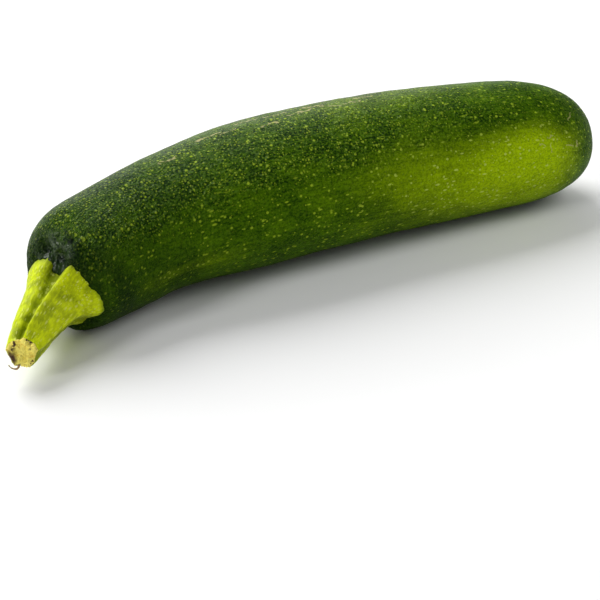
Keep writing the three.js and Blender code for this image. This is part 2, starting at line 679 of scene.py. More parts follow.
@dataclass(frozen=True)
class Furrow:
    """A furrow down the stalk, by its angle and breadth in degrees and its depth in millimetres."""

    angle: float
    breadth: float
    sharpness: float
    depth: float
    deepening: Span

    def shares(self, angles: np.ndarray, share: np.ndarray) -> np.ndarray:
        """Returns how much of its depth it has at each angle and share of the way to the fruit."""
        away = np.abs(np.degrees(apart(angles, math.radians(self.angle))))
        return np.exp(-(away / self.breadth) ** self.sharpness) * self.deepening.at(share)


# ---------------------------------------------------------------- finishes

class Sum(Enum):
    """What a sum does with its two numbers."""

    ADD = "ADD"
    SUBTRACT = "SUBTRACT"
    MULTIPLY = "MULTIPLY"
    DIVIDE = "DIVIDE"
    GREATER = "MAXIMUM"


@dataclass(frozen=True)
class Grain:
    """An uneven pattern: the size of its lumps, which a squeeze below 1 draws out along the piece."""

    size: float
    squeeze: float = 1.0
    detail: float = 2.0
    roughness: float = 0.5


@dataclass(frozen=True)
class Scatter:
    """A scatter of specks.

    The radius of the smallest and largest is a share of the spacing, and a squeeze below 1 draws them out
    along the piece. Below and above say how plainly they show on the sides and on the top.
    """

    spacing: float
    squeeze: float
    small: float
    large: float
    below: float = 1.0
    above: float = 1.0
    bare: float = 0.25
    core: float = 0.5
    edge: float = 1.1


@dataclass(frozen=True)
class Scratch:
    """A short thin mark on the skin, by its middle's millimetres along and degrees round the fruit.

    Its length and breadth are in millimetres, and its slant in degrees. Its core and edge are shares of its
    breadth, between which it fades.
    """

    along: float
    angle: float
    length: float
    slant: float = 0.0
    breadth: float = 0.5
    core: float = 0.35
    edge: float = 1.3

    def ends(self) -> tuple[Vector, Vector]:
        """Returns its two ends on the unrolled skin.

        Returns:
            Its start and its end.
        """
        middle = Vector((self.along * MM, math.radians(self.angle) * UNROLLED_RADIUS, 0))
        half = Vector((math.cos(math.radians(self.slant)), math.sin(math.radians(self.slant)), 0))
        half *= self.length * MM / 2
        return middle - half, middle + half


class Finish:
    """A material that is built node by node, on one principled shader."""

    def __init__(self, name: str) -> None:
        """Starts an empty material with one principled shader.

        Args:
            name: The material's name.
        """
        self.material = bpy.data.materials.new(name)
        self.material.use_nodes = True
        self.tree = self.material.node_tree
        self.shader = self.tree.nodes["Principled BSDF"]

    def node(self, kind: str, **settings: object) -> bpy.types.Node:
        """Adds a node and sets its properties.

        Args:
            kind: The node's type.
            **settings: Its properties by name.

        Returns:
            The node.
        """
        made = self.tree.nodes.new(kind)
        for name, value in settings.items():
            setattr(made, name, value)
        return made

    def feed(self, socket: Socket, value: object) -> None:
        """Sets an input to a value, or links it to another node's output.

        Args:
            socket: The input.
            value: A value, or the output that is linked to it.
        """
        if isinstance(value, bpy.types.NodeSocket):
            self.tree.links.new(value, socket)
        else:
            socket.default_value = value

    def give(self, **values: Number) -> None:
        """Gives the shader's own sockets, named with underscores, a value or another node's output."""
        for name, value in values.items():
            self.feed(self.shader.inputs[name.replace("_", " ")], value)

    def painted(self, name: str) -> Socket:
        """Returns the share that was painted on the piece under a name."""
        return self.node("ShaderNodeAttribute", attribute_name=name).outputs["Fac"]

    def stored(self, name: str) -> Socket:
        """Returns the place that was stored on the piece under a name."""
        return self.node("ShaderNodeAttribute", attribute_name=name).outputs["Vector"]

    def vector_sum(self, operation: str, first: object, second: object) -> bpy.types.Node:
        """Adds a node for one sum on two vectors.

        Args:
            operation: What it does.
            first: The first vector.
            second: The second vector.

        Returns:
            The node.
        """
        made = self.node("ShaderNodeVectorMath", operation=operation)
        self.feed(made.inputs[0], first)
        self.feed(made.inputs[1], second)
        return made

    def squeezed(self, vector: Socket, share: float) -> Socket:
        """Returns a place with its distance along the piece squeezed.

        Args:
            vector: The place.
            share: What is left of its distance along the piece.

        Returns:
            The squeezed place.
        """
        if share == 1:
            return vector
        return self.vector_sum("MULTIPLY", vector, (share, 1, 1)).outputs[0]

    def noise(self, vector: Socket, grain: Grain) -> Socket:
        """Returns an uneven share.

        Args:
            vector: Where it is looked up.
            grain: Its pattern.

        Returns:
            The share, mostly between 0.3 and 0.7.
        """
        made = self.node("ShaderNodeTexNoise")
        self.feed(made.inputs["Vector"], self.squeezed(vector, grain.squeeze))
        self.feed(made.inputs["Scale"], 1 / grain.size)
        self.feed(made.inputs["Detail"], grain.detail)
        self.feed(made.inputs["Roughness"], grain.roughness)
        return made.outputs["Fac"]

    def sum(self, kind: Sum, first: Number, second: Number, clamp: bool = False) -> Socket:
        """Returns the result of one sum on two numbers.

        Args:
            kind: What it does.
            first: The first number.
            second: The second number.
            clamp: Whether the result is kept between 0 and 1.

        Returns:
            The result.
        """
        made = self.node("ShaderNodeMath", operation=kind.value, use_clamp=clamp)
        self.feed(made.inputs[0], first)
        self.feed(made.inputs[1], second)
        return made.outputs[0]

    def plus(self, first: Number, second: Number, clamp: bool = False) -> Socket:
        """Returns two numbers added, kept between 0 and 1 where clamp is true."""
        return self.sum(Sum.ADD, first, second, clamp)

    def times(self, first: Number, second: Number) -> Socket:
        """Returns two numbers multiplied."""
        return self.sum(Sum.MULTIPLY, first, second)

    def ease(self, value: Socket, span: Span) -> Socket:
        """Returns a number eased.

        Args:
            value: The number.
            span: How it is eased.

        Returns:
            The eased number.
        """
        made = self.node("ShaderNodeMapRange", interpolation_type="SMOOTHSTEP")
        for name, fed in (("Value", value), ("From Min", span.low), ("From Max", span.high),
                          ("To Min", span.bottom), ("To Max", span.top)):
            self.feed(made.inputs[name], fed)
        return made.outputs["Result"]

    def mix(self, share: Number, under: Socket | Colour, over: Socket | Colour) -> Socket:
        """Returns one colour laid over another.

        Args:
            share: How much of the upper colour shows.
            under: The lower colour.
            over: The upper colour.

        Returns:
            The mixed colour.
        """
        made = self.node("ShaderNodeMix", data_type="RGBA")
        self.feed(made.inputs["Factor"], share)
        for place, laid in ((MIX_UNDER, under), (MIX_OVER, over)):
            self.feed(made.inputs[place], laid if isinstance(laid, bpy.types.NodeSocket) else colour(laid))
        return made.outputs[MIX_RESULT]

    def bump(self, height: Socket, depth: float, under: Socket | None = None) -> Socket:
        """Returns normals for a fine relief of a given depth, over an earlier one.

        Args:
            height: The relief.
            depth: How deep it is where it falls from 1 to 0.
            under: The earlier normals, or None.

        Returns:
            The normals.
        """
        made = self.node("ShaderNodeBump")
        self.feed(made.inputs["Height"], height)
        self.feed(made.inputs["Distance"], depth)
        if under is not None:
            self.feed(made.inputs["Normal"], under)
        return made.outputs[0]

    def specks(self, vector: Socket, scatter: Scatter) -> Socket:
        """Returns the share of a scatter of specks.

        Args:
            vector: Where they are looked up.
            scatter: How they are scattered.

        Returns:
            1 inside a speck and 0 between them.
        """
        cells = self.node("ShaderNodeTexVoronoi")
        self.feed(cells.inputs["Vector"], self.squeezed(vector, scatter.squeeze))
        self.feed(cells.inputs["Scale"], 1 / scatter.spacing)
        shuffle = self.node("ShaderNodeSeparateColor")
        self.feed(shuffle.inputs[0], cells.outputs["Color"])
        reach = self.ease(shuffle.outputs[0], Span(scatter.bare, 1.0, scatter.small, scatter.large))
        away = self.sum(Sum.DIVIDE, cells.outputs["Distance"], reach)
        return self.ease(away, Span(scatter.core, scatter.edge, 1.0, 0.0))

    def shaken(self, vector: Socket, grain: float, reach: float) -> Socket:
        """Returns a place moved a little to and fro, so that a straight mark looked up there wavers.

        Args:
            vector: The place.
            grain: How soon the movement changes its way.
            reach: How far apart the furthest movements are.

        Returns:
            The moved place.
        """
        noise = self.node("ShaderNodeTexNoise")
        self.feed(noise.inputs["Vector"], vector)
        self.feed(noise.inputs["Scale"], 1 / grain)
        level = self.vector_sum("SUBTRACT", noise.outputs["Color"], (0.5, 0.5, 0.5))
        moved = self.vector_sum("MULTIPLY_ADD", level.outputs[0], (reach, reach, 0))
        self.feed(moved.inputs[2], vector)
        return moved.outputs[0]

    def scratches(self, vector: Socket, marks: tuple[Scratch, ...]) -> Socket:
        """Returns the share of some scratches.

        Args:
            vector: Where they are looked up on the unrolled skin.
            marks: The scratches.

        Returns:
            1 on a scratch and 0 off them all.
        """
        nearest: Socket | None = None
        for mark in marks:
            start, end = mark.ends()
            run = end - start
            offset = self.vector_sum("SUBTRACT", vector, start).outputs[0]
            reach = self.vector_sum("DOT_PRODUCT", offset, run / run.length_squared).outputs["Value"]
            foot = self.node("ShaderNodeVectorMath", operation="SCALE")
            foot.inputs[0].default_value = run
            self.feed(foot.inputs["Scale"], self.plus(reach, 0.0, clamp=True))
            gap = self.vector_sum("DISTANCE", offset, foot.outputs[0]).outputs["Value"]
            breadth = mark.breadth * MM
            near = self.ease(gap, Span(mark.core * breadth, mark.edge * breadth, 1.0, 0.0))
            nearest = near if nearest is None else self.sum(Sum.GREATER, nearest, near)
        return nearest


@dataclass(frozen=True)
class SkinFinish:
    """The fruit's waxy skin: mottled greens, paler where it ripened, with streaks, pale specks and painted
    shade.
    """

    deep: Colour = (18, 48, 0)
    green: Colour = (88, 128, 0)
    ripe_deep: Colour = (130, 162, 0)
    ripe: Colour = (176, 206, 0)
    pale_speck: Colour = (206, 220, 104)
    # The near-black green of the painted shade and of the dark shoulder round the stalk.
    shade: Colour = (4, 22, 8)
    speck: Colour = (180, 208, 50)
    cork: Colour = (192, 186, 120)
    dry_cork: Colour = (118, 88, 50)

    mottle: Grain = Grain(0.68 * MM, squeeze=0.75, detail=3.0, roughness=0.65)
    streak: Grain = Grain(1.8 * MM, squeeze=0.12, detail=3.0, roughness=0.6)
    cloud: Grain = Grain(14 * MM)
    scuff_break: Grain = Grain(1.3 * MM, detail=3.0)
    crumb: Grain = Grain(1.4 * MM, detail=4.0, roughness=0.7)

    middle_tone: float = 0.4
    mottle_tone: Span = Span(0.34, 0.66, -0.5, 0.5)
    mottle_on_top: Span = Span(0.0, 1.0, 0.5, 0.9)
    streak_tone: Span = Span(0.36, 0.66, -0.1, 0.12)
    cloud_tone: Span = Span(0.35, 0.65, -0.08, 0.12)
    streak_ripening: Span = Span(0.3, 0.7, -0.05, 0.05)
    cloud_ripening: Span = Span(0.3, 0.7, -0.08, 0.08)
    ripening: Span = Span(0.02, 1.05)
    ripe_mottle: Span = Span(0.32, 0.66)
    shade_strength: float = 0.96

    dots: Scatter = Scatter(1.0 * MM, 1.0, 0.2, 0.44, below=0.08, above=0.6)
    specks: Scatter = Scatter(2.0 * MM, 0.9, 0.12, 0.3, below=0.6, above=0.85)
    dashes: Scatter = Scatter(1.6 * MM, 0.4, 0.1, 0.28, below=0.6, above=0.2)
    pale_where_ripe: Span = Span(0.1, 0.6)
    specks_where_wet: Span = Span(0.0, 0.8, 1.0, 0.1)

    waver_grain: float = 2.2 * MM
    waver_reach: float = 4 * MM
    scuff_gaps: Span = Span(0.38, 0.52)
    scuff_strength: float = 0.85
    scar_strength: float = 0.55
    cork_ragged: Span = Span(0.3, 0.7, -0.2, 0.2)
    cork_edge: Span = Span(0.22, 0.42)
    dry_ragged: Span = Span(0.3, 0.7, -0.3, 0.3)
    dry_edge: Span = Span(0.5, 0.95)

    roughness: Span = Span(0.0, 1.0, 0.42, 0.34)
    specular: float = 0.02
    coat_roughness: float = 0.14
    glint_grains: Span = Span(0.54, 0.66, 0.01, 0.5)
    glint_on_top: Span = Span(0.0, 1.0, 0.15, 1.0)
    moist_grains: Span = Span(0.42, 0.6, 0.3, 1.0)
    relief_on_top: Span = Span(0.0, 1.0, 0.6, 1.5)
    relief_where_wet: Span = Span(0.2, 1.0, 1.0, 0.12)
    mottle_depth: float = 0.9 * MM
    speck_depth: float = 0.16 * MM

    scuffs: tuple[Scratch, ...] = (
        Scratch(50, 3, 6, 10), Scratch(68, -6, 8, 4), Scratch(74, -1, 6, -12), Scratch(83, -10, 8, 6),
        Scratch(89, 6, 7, -4), Scratch(94, -8, 9, 3), Scratch(102.5, -2.5, 10, -6), Scratch(109, -9, 8, 5),
        Scratch(114, -4, 7, 12), Scratch(122, -2, 8, -4), Scratch(129, -9, 7, 4),
    )
    scars: tuple[Scratch, ...] = (
        Scratch(190, 69, 3.2, 30, 0.3), Scratch(194, 74, 4.0, 80, 0.3), Scratch(205.5, 43, 4.5, -60, 0.35),
        Scratch(203, 74, 2.6, 20, 0.4), Scratch(207, 72, 3.0, 65, 0.35), Scratch(194, 63, 3.0, -20, 0.25),
    )

    def build(self) -> bpy.types.Material:
        """Builds the skin's material.

        Returns:
            The material, which reads the painted shares ripe, shade, wet, upper and cork.
        """
        f = Finish("courgette_skin")
        grown = f.stored("grown")
        ripe, upper, wet = (f.painted(name) for name in ("ripe", "upper", "wet"))
        mottle = f.noise(grown, self.mottle)
        base = self.greens(f, mottle, ripe, upper)

        fleck = f.mix(f.ease(ripe, self.pale_where_ripe), self.speck, self.pale_speck)
        dry = f.ease(wet, self.specks_where_wet)
        raised = None
        for scatter in (self.dots, self.specks, self.dashes):
            marks = f.specks(grown, scatter)
            plainly = f.ease(upper, Span(0.0, 1.0, scatter.below, scatter.above))
            shown = f.times(f.times(marks, dry), plainly)
            base = f.mix(shown, base, fleck)
            if scatter is not self.dashes:
                raised = marks if raised is None else f.plus(raised, marks)
        # Painted shade beside the stalk, in the shoulder's hollows and under the neck, over a darker
        # shoulder and neck.
        base = f.mix(f.times(f.painted("shade"), self.shade_strength), base, self.shade)
        base, scuffs = self.blemishes(f, base)

        glint = f.times(f.ease(mottle, self.glint_grains), f.ease(upper, self.glint_on_top))
        moist = f.times(f.ease(mottle, self.moist_grains), wet)
        grain = f.times(mottle, f.ease(upper, self.relief_on_top))
        relief = f.bump(f.times(grain, f.ease(wet, self.relief_where_wet)), self.mottle_depth)
        relief = f.bump(f.plus(raised, scuffs), self.speck_depth, relief)
        f.give(Base_Color=base, Roughness=f.ease(upper, self.roughness),
               Coat_Weight=f.sum(Sum.GREATER, glint, moist), Normal=relief, Coat_Normal=relief,
               Specular_IOR_Level=self.specular, Coat_Roughness=self.coat_roughness)
        return f.material

    def greens(self, f: Finish, mottle: Socket, ripe: Socket, upper: Socket) -> Socket:
        """Mixes the mottled greens, and the yellow-green where the skin ripened.

        Args:
            f: The finish that they belong to.
            mottle: The skin's fine mottling.
            ripe: How ripe the skin is.
            upper: How far it faces up.

        Returns:
            The skin's colour without specks or blemishes.
        """
        grown = f.stored("grown")
        streaks, clouds = f.noise(grown, self.streak), f.noise(grown, self.cloud)
        tone = f.times(f.ease(mottle, self.mottle_tone), f.ease(upper, self.mottle_on_top))
        tone = f.plus(f.plus(tone, self.middle_tone), f.ease(streaks, self.streak_tone))
        tone = f.plus(tone, f.ease(clouds, self.cloud_tone), clamp=True)
        ripening = f.plus(ripe, f.ease(streaks, self.streak_ripening))
        ripening = f.plus(ripening, f.ease(clouds, self.cloud_ripening))
        gold = f.mix(f.ease(mottle, self.ripe_mottle), self.ripe_deep, self.ripe)
        return f.mix(f.ease(ripening, self.ripening), f.mix(tone, self.deep, self.green), gold)

    def blemishes(self, f: Finish, base: Socket) -> tuple[Socket, Socket]:
        """Lays the scuffs, the fine scars and the blossom's corky scar over the skin.

        Args:
            f: The finish that they belong to.
            base: The skin's colour without them.

        Returns:
            The skin's colour with them, and the share of the scuffs, which stand proud.
        """
        grown = f.stored("grown")
        wavy = f.shaken(f.stored("unrolled"), self.waver_grain, self.waver_reach)
        breaks = f.ease(f.noise(grown, self.scuff_break), self.scuff_gaps)
        scuffs = f.times(f.scratches(wavy, self.scuffs), breaks)
        base = f.mix(f.times(scuffs, self.scuff_strength), base, self.cork)
        base = f.mix(f.times(f.scratches(wavy, self.scars), self.scar_strength), base, self.cork)
        corky, crumbs = f.painted("cork"), f.noise(grown, self.crumb)
        scar = f.ease(f.plus(corky, f.ease(crumbs, self.cork_ragged)), self.cork_edge)
        dry = f.ease(f.plus(corky, f.ease(crumbs, self.dry_ragged)), self.dry_edge)
        return f.mix(scar, base, f.mix(dry, self.cork, self.dry_cork)), scuffs


@dataclass(frozen=True)
class StalkFinish:
    """The stalk's lime-green rind with pale flecks and painted shade between ribs, and its corky cut face.
    """

    lime: Colour = (218, 234, 8)
    olive: Colour = (132, 148, 4)
    fleck: Colour = (228, 236, 120)
    rim: Colour = (84, 116, 10)
    cork: Colour = (255, 240, 118)
    cork_shade: Colour = (236, 190, 56)
    bruise: Colour = (78, 56, 44)

    grain: Grain = Grain(0.6 * MM, squeeze=0.2, detail=3.0, roughness=0.6)
    cloud: Grain = Grain(4 * MM)
    crumb: Grain = Grain(1.5 * MM, detail=4.0, roughness=0.7)
    pit: Grain = Grain(1.8 * MM)
    flecks: Scatter = Scatter(0.62 * MM, 0.22, 0.18, 0.5)

    grain_tone: Span = Span(0.35, 0.7, 0.1, 0.5)
    cloud_tone: Span = Span(0.3, 0.7, 0.1, 0.55)
    groove_shade_strength: float = 0.75
    fleck_strength: float = 0.45
    rim_strength: float = 0.8
    cork_tone: Span = Span(0.3, 0.48)
    pits: Span = Span(0.57, 0.65)
    cut_ragged: Span = Span(0.3, 0.7, -0.25, 0.25)
    cut_edge: Span = Span(0.4, 0.6)
    roughness: Span = Span(0.0, 1.0, 0.48, 0.85)
    specular: float = 0.1
    grain_depth: float = 0.3 * MM
    fleck_depth: float = 0.12 * MM
    crumb_depth: float = 0.9 * MM

    def build(self) -> bpy.types.Material:
        """Builds the stalk's material.

        Returns:
            The material, which reads the painted shares hollow (the shade between the ribs), foot, cut,
            rind_edge and bruise.
        """
        f = Finish("courgette_stalk_rind")
        grown = f.stored("grown")
        grain, crumbs = f.noise(grown, self.grain), f.noise(grown, self.crumb)
        flecks = f.specks(grown, self.flecks)
        tone = f.plus(f.ease(grain, self.grain_tone), f.ease(f.noise(grown, self.cloud), self.cloud_tone))
        # Painted shade: the rind darkens between the ribs.
        tone = f.sum(Sum.SUBTRACT, tone, f.times(f.painted("shaded_hollow"), self.groove_shade_strength), clamp=True)
        rind = f.mix(tone, self.olive, self.lime)
        rind = f.mix(f.times(flecks, self.fleck_strength), rind, self.fleck)
        rind = f.mix(f.times(f.painted("foot"), self.rim_strength), rind, self.rim)

        cork = f.mix(f.ease(crumbs, self.cork_tone), self.cork_shade, self.cork)
        pits = f.times(f.ease(f.noise(grown, self.pit), self.pits), f.painted("rind_edge"))
        cork = f.mix(f.sum(Sum.GREATER, f.painted("bruise"), pits), cork, self.bruise)
        cut = f.ease(f.plus(f.painted("cut"), f.ease(crumbs, self.cut_ragged)), self.cut_edge)
        relief = f.bump(flecks, self.fleck_depth, f.bump(grain, self.grain_depth))
        relief = f.bump(f.times(crumbs, cut), self.crumb_depth, relief)
        f.give(Base_Color=f.mix(cut, rind, cork), Roughness=f.ease(cut, self.roughness), Normal=relief,
               Specular_IOR_Level=self.specular)
        return f.material


@dataclass(frozen=True)
class FibreFinish:
    """A dry brown plant fibre."""

    pale: Colour = (176, 138, 84)
    dark: Colour = (96, 60, 34)
    patch: Grain = Grain(0.5 * MM, detail=3.0)
    patches: Span = Span(0.35, 0.65)
    patch_depth: float = 0.1 * MM
    roughness: float = 0.7
    specular: float = 0.3

    def build(self) -> bpy.types.Material:
        """Builds the fibre's material.

        Returns:
            The material.
        """
        f = Finish("courgette_dry_fibre")
        patches = f.noise(f.node("ShaderNodeTexCoord").outputs["Object"], self.patch)
        f.give(Base_Color=f.mix(f.ease(patches, self.patches), self.dark, self.pale),
               Normal=f.bump(patches, self.patch_depth),
               Roughness=self.roughness, Specular_IOR_Level=self.specular)
        return f.material


# ---------------------------------------------------------------- pieces

@dataclass(frozen=True)
class Colouring:
    """Where the skin is ripe, dark, in painted shade or facing up, in millimetres along and degrees round
    it.
    """

    side_angle: float = 102.0
    side_round: Span = Span(10, 66, 1.0, 0.0)
    side_start: Span = Span(90, 190)
    side_end: Span = Span(194, 216, 0.7, 0.0)
    heart: Patch = Patch(188, 72, 20, 24, 0.5)
    slant_angle: float = 70.0
    slant_along: float = 0.5
    slant_round: float = 0.9
    slant_reach: float = 60.0
    # The third patch, along the top, is a painted sheen; the first two are paler colour.
    paler: tuple[Patch, ...] = (
        Patch(136, 74, 44, 34, 0.22), Patch(42, 105, 26, 10, 0.32), Patch(132, -10, 46, 28, 0.26),
    )

    shoulder: Span = Span(1, 13, 0.8, 0.0)
    # The wedge is a painted shadow beside the stalk.
    wedge_along: float = 5.0
    wedge_angle: float = 47.0
    wedge_slope: float = 0.15
    wedge_reach: float = 9.0
    wedge_start: Span = Span(20, 45)
    wedge_end: Span = Span(120, 175, 0.7, 0.0)
    neck: Span = Span(20, 90, 1.0, 0.0)
    neck_shade: float = 0.3
    # neck_below is painted shade under the neck.
    neck_below: float = 0.18
    neck_below_angle: float = 120.0
    neck_below_reach: float = 45.0

    top_angle: float = -5.0
    top_round: Span = Span(40, 85, 1.0, 0.0)
    top_along: Span = Span(100, 190, 1.0, 0.28)

    def ripeness_and_top_sheen(self, along: np.ndarray, angle: np.ndarray) -> np.ndarray:
        """Returns how ripe the skin is at each place, with a painted sheen as a paler patch along the top.

        Args:
            along: Millimetres along the fruit.
            angle: Degrees round it.

        Returns:
            0 where it is deep green, to 1 where it is yellow-green.
        """
        side = self.side_round.at(degrees_apart(angle, self.side_angle))
        side = side * self.side_start.at(along) * self.side_end.at(along)
        slant = (along - self.heart.along) * self.slant_along
        slant = slant + (angle - self.slant_angle) * self.slant_round
        heart = self.heart.shares(along, angle) * np.exp(-(slant / self.slant_reach) ** 2)
        return side + heart + sum(patch.shares(along, angle) for patch in self.paler)

    def darkness_and_painted_shade(self, along: np.ndarray, angle: np.ndarray) -> np.ndarray:
        """Returns how dark the skin is: a painted shadow beside the stalk and painted shade under the neck.

        Args:
            along: Millimetres along the fruit.
            angle: Degrees round it.

        Returns:
            0 where it is green, to 1 where it is nearly black.
        """
        # A painted shadow beside the stalk.
        middle = self.wedge_along + self.wedge_slope * (angle - self.wedge_angle)
        wedge = np.exp(-((along - middle) / self.wedge_reach) ** 2)
        wedge = wedge * self.wedge_start.at(angle) * self.wedge_end.at(angle)
        # Painted shade under the neck, over a darker neck.
        below = np.exp(-((angle - self.neck_below_angle) / self.neck_below_reach) ** 2)
        neck = self.neck.at(along) * (self.neck_shade + self.neck_below * below)
        return np.maximum(np.maximum(self.shoulder.at(along), wedge), neck)

    def upper(self, along: np.ndarray, angle: np.ndarray) -> np.ndarray:
        """Returns how far the skin faces up at each place, less so towards the blossom end."""
        return self.top_round.at(degrees_apart(angle, self.top_angle)) * self.top_along.at(along)


@dataclass
class Fruit:
    """The grown fruit, with its ribbed shoulder and its blossom scar."""

    form: FruitForm
    ribs: list[Rib]
    finish: SkinFinish = field(default_factory=SkinFinish)
    colouring: Colouring = field(default_factory=Colouring)
    sides: int = 28
    dome_rings: int = 8
    first_dome_ring: float = 0.35
    body_rings: int = 20
    levels: int = 3
    rib_height: float = 1.3 * MM
    rib_length: float = 26 * MM
    neck_swellings: tuple[Spot, ...] = (Spot(27, 138, 22, 1.1), Spot(58, 142, 24, -0.9))
    hollows: tuple[Spot, ...] = (
        Spot(2.6, -22, 3.9, -2.6), Spot(1.6, 4, 4.6, -2.3), Spot(5.0, 13, 2.4, -1.1),
    )
    dimple_and_knobs: tuple[Spot, ...] = (
        Spot(4.5, 55, 6.0, -0.9), Spot(4.6, -9, 2.6, 0.9), Spot(2.4, 22, 2.4, 0.8), Spot(5.4, 25, 2.6, 0.8),
    )
    # How strongly painted shade darkens the shoulder's hollows.
    hollow_shade: float = 1.5
    wet: Spot = Spot(2, -4, 11, 1.6)
    wrinkles: Relief = Relief(1.5 * MM, 1.7 * MM)
    wrinkled: Span = Span(1 * MM, 8 * MM, 1.0, 0.0)
    unevenness: Relief = Relief(0.9 * MM, 30 * MM)
    ripples: Relief = Relief(0.22 * MM, 5 * MM)
    scar_reach: float = 9 * MM
    scar_ring_reach: float = 7 * MM
    scar_ring_height: float = 0.9 * MM
    scar_pit_reach: float = 3.2 * MM
    scar_pit_depth: float = 1.6 * MM

    def stations(self) -> list[float]:
        """Returns the distances along the fruit at which it has a ring, close together towards each pole.

        Returns:
            The distances in order.
        """
        length = self.form.line.length
        stalk, blossom = self.form.stalk_end_rounding, self.form.blossom_end_rounding
        domes = [1 - math.cos(math.pi / 2 * (order + self.first_dome_ring) / self.dome_rings)
                 for order in range(self.dome_rings)]
        straight = length - stalk - blossom
        return ([stalk * dome for dome in domes]
                + [stalk + straight * order / self.body_rings for order in range(self.body_rings + 1)]
                + [length - blossom * dome for dome in reversed(domes)])

    def build(self) -> bpy.types.Object:
        """Models the fruit, bends and lays it, and dresses it.

        Returns:
            The finished piece.
        """
        form = self.form
        full = before_smoothing(self.sides)
        rings = [form.ring(along, form.radius(along) * full) for along in self.stations()]
        piece = grow("courgette_fruit", rings, self.sides)
        refine(piece, self.levels)
        self.swell_spots(piece, self.neck_swellings)
        self.shape_shoulder(piece)
        self.shape_blossom_end(piece)
        roughen(piece, self.unevenness)
        roughen(piece, self.ripples)
        self.mark(piece)
        bend(piece, form.line.path())
        piece.data.transform(form.laid())
        with editing(piece):
            pick(piece, lambda place: place.z < 0)
            bpy.ops.transform.resize(value=(1, 1, 0), center_override=(0, 0, 0))
        dress(piece, self.finish.build())
        return piece

    def from_axis(self, points: np.ndarray) -> np.ndarray:
        """Returns places on the straight fruit measured from its own axis."""
        centres = np.array([self.form.ring(along, 0).centre for along in points[:, 0]])
        return points - centres * np.array((0, 1, 1))

    def near(self, points: np.ndarray, along: float, angle: float, reach: float) -> np.ndarray:
        """Returns how near each place is to a spot on the skin, from 0 at the reach to 1 at the spot.

        Args:
            points: The places.
            along: The spot's distance along the fruit.
            angle: Its angle round the fruit.
            reach: How far it reaches.

        Returns:
            The nearness of each place.
        """
        spot = np.array(self.form.spot(along, angle))
        return 1 - smooth(np.linalg.norm(points - spot, axis=1), 0, reach)

    def near_spot(self, points: np.ndarray, spot: Spot) -> np.ndarray:
        """Returns how near each place is to a spot, from 0 at its reach to 1 at its middle."""
        return self.near(points, spot.along * MM, math.radians(spot.angle), spot.reach * MM)

    def swell_spots(self, piece: bpy.types.Object, spots: tuple[Spot, ...]) -> None:
        """Raises or presses some spots of the skin.

        Args:
            piece: The fruit.
            spots: The spots.
        """
        points = places(piece)
        for spot in spots:
            swell(piece, spot.strength * MM, self.near_spot(points, spot))

    def shape_shoulder(self, piece: bpy.types.Object) -> None:
        """Raises a ridge in line with each rib of the stalk, and shapes the hollows and knobs between them.

        Args:
            piece: The fruit.
        """
        points = places(piece)
        fade = 1 - smooth(points[:, 0], 0, self.rib_length)
        ridges = sum(rib.shares(angles_round(self.from_axis(points))) for rib in self.ribs)
        swell(piece, self.rib_height, np.clip(ridges, 0, 1) * fade)
        for spot in (*self.hollows, *self.dimple_and_knobs):
            swell(piece, spot.strength * MM, self.near_spot(points, spot))
        roughen(piece, self.wrinkles, self.wrinkled.at(points[:, 0]))

    def shape_blossom_end(self, piece: bpy.types.Object) -> None:
        """Gives the blossom end its low corky ring round a pit.

        Args:
            piece: The fruit.
        """
        points = places(piece)
        pole = self.form.line.length
        swell(piece, self.scar_ring_height, self.near(points, pole, 0, self.scar_ring_reach))
        swell(piece, -self.scar_pit_depth, self.near(points, pole, 0, self.scar_pit_reach))

    def mark(self, piece: bpy.types.Object) -> None:
        """Paints where the skin is ripe, dark, in painted shade, wet, facing up or corky, and stores where
        each point grew.

        Args:
            piece: The fruit.
        """
        points = places(piece)
        axial = self.from_axis(points)
        angles = angles_round(axial)
        store(piece, "grown", axial)
        flat = (axial[:, 0], angles * UNROLLED_RADIUS, np.zeros_like(angles))
        store(piece, "unrolled", np.column_stack(flat))
        along, angle = axial[:, 0] / MM, np.degrees(angles)
        # Painted shade in the shoulder's hollows.
        shaded_hollow = sum(self.near_spot(points, spot) for spot in self.hollows)
        dark = np.maximum(self.colouring.darkness_and_painted_shade(along, angle), shaded_hollow * self.hollow_shade)
        # ripe also carries the painted sheen along the top.
        paint(piece, "ripe", self.colouring.ripeness_and_top_sheen(along, angle))
        paint(piece, "wet", self.near_spot(points, self.wet) * self.wet.strength)
        paint(piece, "shade", dark)
        paint(piece, "upper", self.colouring.upper(along, angle))
        paint(piece, "cork", self.near(points, self.form.line.length, 0, self.scar_reach))


